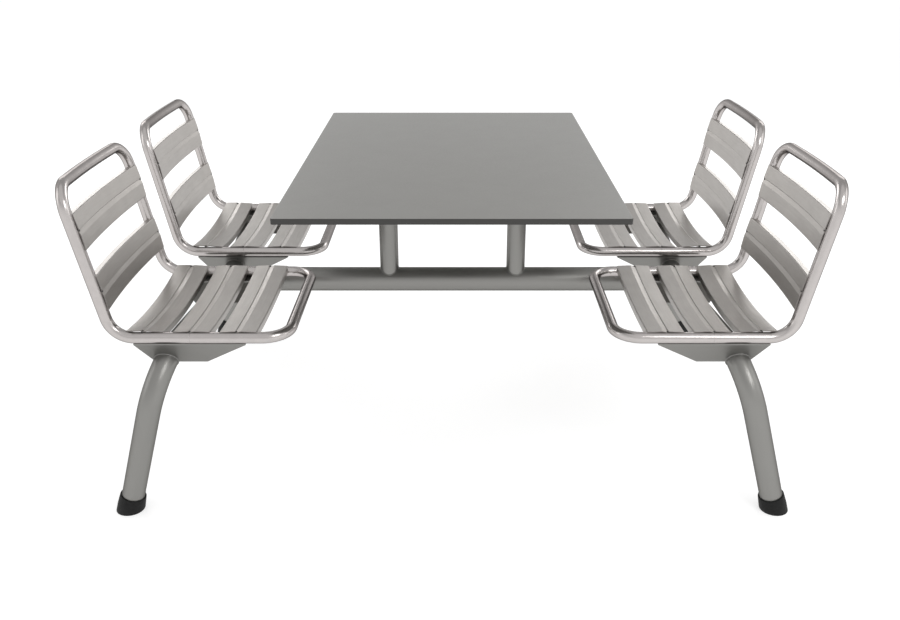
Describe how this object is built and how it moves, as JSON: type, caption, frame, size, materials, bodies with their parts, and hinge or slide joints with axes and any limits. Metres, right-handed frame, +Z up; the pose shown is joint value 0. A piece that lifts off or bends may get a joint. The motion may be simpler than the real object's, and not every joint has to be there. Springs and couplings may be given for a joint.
{
  "type": "table with attached seats",
  "caption": "Canteen table with a rectangular laminate top on posts over a round beam, joined by splayed tube legs to slatted metal chairs that face each other across it.",
  "frame": {"origin": "on the floor under the middle of the table top", "axes": "+X across the table from the left seats to the right seats, +Y along the table away from the viewer, +Z up"},
  "size_m": [1.6976, 1.0808, 0.7983],
  "materials": {
    "grey_laminate": "matt grey compact laminate with a dark edge",
    "satin_steel": "satin silver-grey coating on steel",
    "polished_aluminium": "polished tube",
    "satin_aluminium": "satin pressed sheet",
    "black_rubber": "moulded rubber",
    "black_plastic": "moulded plastic"
  },
  "bodies": {
    "root": {"table_top": "grey_laminate", "left_support_bar": "satin_steel", "left_post": "satin_steel", "left_beam_cap": "black_plastic", "right_support_bar": "satin_steel", "right_post": "satin_steel", "right_beam_cap": "black_plastic", "cross_beam": "satin_steel", "front_left_leg": "satin_steel", "front_left_foot": "black_rubber", "front_left_seat_frame": "polished_aluminium", "front_left_seat_slat_rear": "satin_aluminium", "front_left_seat_slat_middle": "satin_aluminium", "front_left_seat_slat_front": "satin_aluminium", "front_left_back_slat_lower": "satin_aluminium", "front_left_back_slat_upper": "satin_aluminium", "front_left_bracket_outer": "satin_steel", "front_left_bracket_inner": "satin_steel", "front_right_leg": "satin_steel", "front_right_foot": "black_rubber", "front_right_seat_frame": "polished_aluminium", "front_right_seat_slat_rear": "satin_aluminium", "front_right_seat_slat_middle": "satin_aluminium", "front_right_seat_slat_front": "satin_aluminium", "front_right_back_slat_lower": "satin_aluminium", "front_right_back_slat_upper": "satin_aluminium", "front_right_bracket_outer": "satin_steel", "front_right_bracket_inner": "satin_steel", "back_left_leg": "satin_steel", "back_left_foot": "black_rubber", "back_left_seat_frame": "polished_aluminium", "back_left_seat_slat_rear": "satin_aluminium", "back_left_seat_slat_middle": "satin_aluminium", "back_left_seat_slat_front": "satin_aluminium", "back_left_back_slat_lower": "satin_aluminium", "back_left_back_slat_upper": "satin_aluminium", "back_left_bracket_outer": "satin_steel", "back_left_bracket_inner": "satin_steel", "back_right_leg": "satin_steel", "back_right_foot": "black_rubber", "back_right_seat_frame": "polished_aluminium", "back_right_seat_slat_rear": "satin_aluminium", "back_right_seat_slat_middle": "satin_aluminium", "back_right_seat_slat_front": "satin_aluminium", "back_right_back_slat_lower": "satin_aluminium", "back_right_back_slat_upper": "satin_aluminium", "back_right_bracket_outer": "satin_steel", "back_right_bracket_inner": "satin_steel"}
  },
  "joints": []
}
